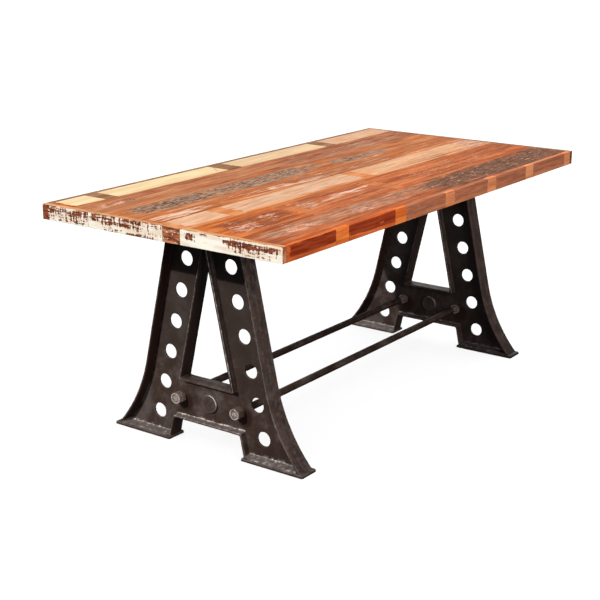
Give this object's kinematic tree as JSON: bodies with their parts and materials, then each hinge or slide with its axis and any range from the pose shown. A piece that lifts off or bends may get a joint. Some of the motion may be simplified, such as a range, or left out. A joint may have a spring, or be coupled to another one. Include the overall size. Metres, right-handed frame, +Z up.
{
  "type": "dining table",
  "caption": "Industrial dining table with a top of reclaimed painted boards on cast-iron A-frames joined by tie rods.",
  "frame": {"origin": "on the floor, under the middle of the tabletop", "axes": "+X along the table's length, +Y from its front edge to its back edge, +Z up"},
  "size_m": [1.83, 0.9, 0.76],
  "materials": {
    "black_steel": "dark, satin",
    "cast_iron": "dark brown-black, satin, worn silver along its ledges",
    "cream_painted_wood": "old cream paint under a clear coat, satin",
    "dark_brown_wood": "clear coat, satin",
    "edge_brown_wood": "clear coat, satin",
    "orange_wood": "clear coat, satin",
    "pale_washed_wood": "worn pink-white wash, satin",
    "red_brown_wood": "clear coat, satin, with paint remnants",
    "screw_steel": "dark zinc",
    "support_timber": "sawn, unfinished",
    "weathered_wood": "grey-brown weathered grain under a clear coat",
    "white_flaked_paint": "flaked white paint over dark wood",
    "worn_steel": "bare and worn at the faces"
  },
  "bodies": {
    "root": {"amber_block_1": "orange_wood", "amber_block_2": "orange_wood", "amber_block_3": "orange_wood", "amber_block_4": "orange_wood", "back_edge_board_1": "dark_brown_wood", "back_edge_board_2": "dark_brown_wood", "back_edge_board_3": "dark_brown_wood", "back_tie_rod": "black_steel", "cream_board_1": "cream_painted_wood", "cream_board_2": "cream_painted_wood", "cream_board_3": "cream_painted_wood", "cream_board_4": "cream_painted_wood", "cross_batten_1": "support_timber", "cross_batten_2": "support_timber", "cross_batten_3": "support_timber", "dark_block_1": "dark_brown_wood", "dark_block_2": "dark_brown_wood", "dark_block_3": "dark_brown_wood", "frame_lag_screws": "screw_steel", "front_board": "red_brown_wood", "front_edge_block_1": "orange_wood", "front_edge_block_2": "orange_wood", "front_edge_block_3": "orange_wood", "front_edge_block_4": "orange_wood", "front_edge_block_5": "orange_wood", "front_edge_block_6": "orange_wood", "front_edge_board_1": "edge_brown_wood", "front_edge_board_2": "edge_brown_wood", "front_edge_board_3": "edge_brown_wood", "front_edge_board_4": "edge_brown_wood", "front_edge_board_5": "edge_brown_wood", "front_edge_board_6": "edge_brown_wood", "front_tie_rod": "black_steel", "grey_board_left": "weathered_wood", "grey_board_right": "weathered_wood", "left_bearer": "support_timber", "left_edge_block": "dark_brown_wood", "left_edge_board_1": "white_flaked_paint", "left_edge_board_2": "white_flaked_paint", "left_edge_board_3": "white_flaked_paint", "left_leg_frame": "cast_iron", "ochre_board": "orange_wood", "pale_board_1": "pale_washed_wood", "pale_board_2": "pale_washed_wood", "pale_board_3": "pale_washed_wood", "red_board_1": "red_brown_wood", "red_board_2": "red_brown_wood", "red_board_3": "red_brown_wood", "right_bearer": "support_timber", "right_edge_block": "edge_brown_wood", "right_edge_board_1": "edge_brown_wood", "right_edge_board_2": "edge_brown_wood", "right_leg_frame": "cast_iron", "rust_board": "red_brown_wood", "tie_rod_end_nuts": "worn_steel", "tie_rod_jam_nuts": "worn_steel"}
  },
  "joints": []
}
